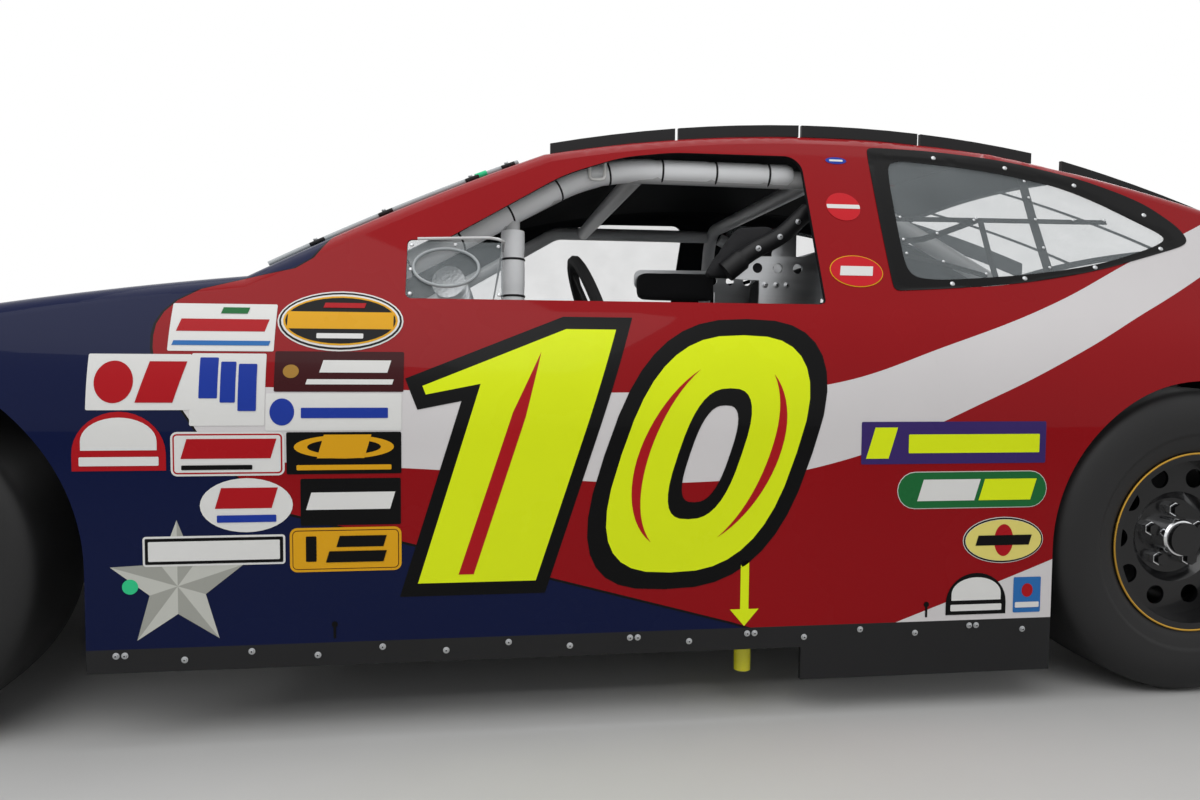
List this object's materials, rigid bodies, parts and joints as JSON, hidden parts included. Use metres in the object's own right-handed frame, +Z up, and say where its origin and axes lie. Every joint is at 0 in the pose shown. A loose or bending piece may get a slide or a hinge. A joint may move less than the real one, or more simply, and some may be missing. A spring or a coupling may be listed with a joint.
{
  "type": "oval-track stock car",
  "caption": "Full-bodied oval-track racing car with a tubular frame, slick tyres, open driver's window, rear spoiler and blank sponsor places.",
  "frame": {"origin": "on the ground, at the middle of the car's length and width", "axes": "+X towards the tail, +Y to the car's right, +Z up"},
  "size_m": [5.0978, 1.83, 1.3289],
  "materials": {
    "body_paint": "gloss",
    "black_trim": "matte",
    "clear_pane": "clear",
    "tyre": "matte",
    "wheel_steel": "satin",
    "frame_steel": "satin",
    "cage_paint": "satin",
    "sheet_aluminium": "brushed",
    "iron": "rough",
    "bare_steel": "satin",
    "padding": "woven",
    "grip": "matte",
    "jack_yellow": "gloss"
  },
  "bodies": {
    "chassis": {"nose": "body_paint", "windshield_frame": "body_paint", "fender_left": "body_paint", "fender_right": "body_paint", "side_panel_left": "body_paint", "side_panel_right": "body_paint", "sail_panel_left": "body_paint", "sail_panel_right": "body_paint", "quarter_panel_left": "body_paint", "quarter_panel_right": "body_paint", "tulip_panel": "body_paint", "tail": "body_paint", "roof": "body_paint", "side_skirts": "black_trim", "splitter": "black_trim", "roof_rails": "black_trim", "windshield": "clear_pane", "rear_window": "clear_pane", "side_windows": "clear_pane", "frame_centre": "frame_steel", "frame_front": "frame_steel", "frame_rear": "frame_steel", "floor_pan": "frame_steel", "firewall": "frame_steel", "rear_bulkhead": "frame_steel", "control_arms": "frame_steel", "rear_axle": "frame_steel", "cage_hoop": "cage_paint", "cage_front": "cage_paint", "cage_rear": "cage_paint", "door_bars": "cage_paint", "dashboard": "sheet_aluminium", "seat": "sheet_aluminium", "radiator": "sheet_aluminium", "engine": "iron", "exhaust": "bare_steel", "drive_shaft": "bare_steel", "steering_column": "bare_steel", "seat_padding": "padding", "fuel_cell": "padding", "jack_posts": "jack_yellow"},
    "hood": {"hood": "body_paint"},
    "deck_lid": {"deck_lid": "body_paint", "spoiler": "black_trim"},
    "roof_flap_left": {"roof_flap_left": "body_paint"},
    "roof_flap_right": {"roof_flap_right": "body_paint"},
    "steering_wheel": {"steering_wheel": "grip"},
    "knuckle_left": {"knuckle_left": "iron"},
    "knuckle_right": {"knuckle_right": "iron"},
    "wheel_front_left": {"tyre_front_left": "tyre", "rim_front_left": "wheel_steel"},
    "wheel_front_right": {"tyre_front_right": "tyre", "rim_front_right": "wheel_steel"},
    "wheel_rear_left": {"tyre_rear_left": "tyre", "rim_rear_left": "wheel_steel"},
    "wheel_rear_right": {"tyre_rear_right": "tyre", "rim_rear_right": "wheel_steel"}
  },
  "joints": [
    {"name": "steering_turn", "type": "hinge", "parent": "chassis", "child": "steering_wheel", "pos_m": [-0.055, -0.38, 0.842], "axis": [0.9397, 0, 0.342], "range_deg": [-240, 240]},
    {"name": "steer_left", "type": "hinge", "parent": "chassis", "child": "knuckle_left", "pos_m": [-1.539, -0.65, 0.35], "axis": [0, 0, 1], "range_deg": [-20, 20]},
    {"name": "steer_right", "type": "hinge", "parent": "chassis", "child": "knuckle_right", "pos_m": [-1.539, 0.65, 0.35], "axis": [0, 0, 1], "range_deg": [-20, 20]},
    {"name": "hood_hinge", "type": "hinge", "parent": "chassis", "child": "hood", "pos_m": [-0.966, 0, 0.93657], "axis": [0, 1, 0], "range_deg": [0, 50]},
    {"name": "deck_lid_hinge", "type": "hinge", "parent": "chassis", "child": "deck_lid", "pos_m": [1.806, 0, 1.07324], "axis": [0, -1, 0], "range_deg": [0, 60]},
    {"name": "roof_flap_left_hinge", "type": "hinge", "parent": "chassis", "child": "roof_flap_left", "pos_m": [0.694, -0.31, 1.3074], "axis": [0, -0.9991, -0.0414], "range_deg": [0, 60]},
    {"name": "roof_flap_right_hinge", "type": "hinge", "parent": "chassis", "child": "roof_flap_right", "pos_m": [0.694, 0.31, 1.3074], "axis": [0, -0.9991, 0.0414], "range_deg": [0, 60]},
    {"name": "wheel_front_left_spin", "type": "hinge", "parent": "knuckle_left", "child": "wheel_front_left", "pos_m": [-1.539, -0.768, 0.35], "axis": [0, 1, 0], "continuous": true},
    {"name": "wheel_front_right_spin", "type": "hinge", "parent": "knuckle_right", "child": "wheel_front_right", "pos_m": [-1.539, 0.768, 0.35], "axis": [0, 1, 0], "continuous": true},
    {"name": "wheel_rear_left_spin", "type": "hinge", "parent": "chassis", "child": "wheel_rear_left", "pos_m": [1.255, -0.768, 0.35], "axis": [0, 1, 0], "continuous": true},
    {"name": "wheel_rear_right_spin", "type": "hinge", "parent": "chassis", "child": "wheel_rear_right", "pos_m": [1.255, 0.768, 0.35], "axis": [0, 1, 0], "continuous": true}
  ],
  "couplings": [
    {"joint": "steer_left", "follows": "steering_turn", "ratio": 0.083333},
    {"joint": "steer_right", "follows": "steering_turn", "ratio": 0.083333}
  ]
}
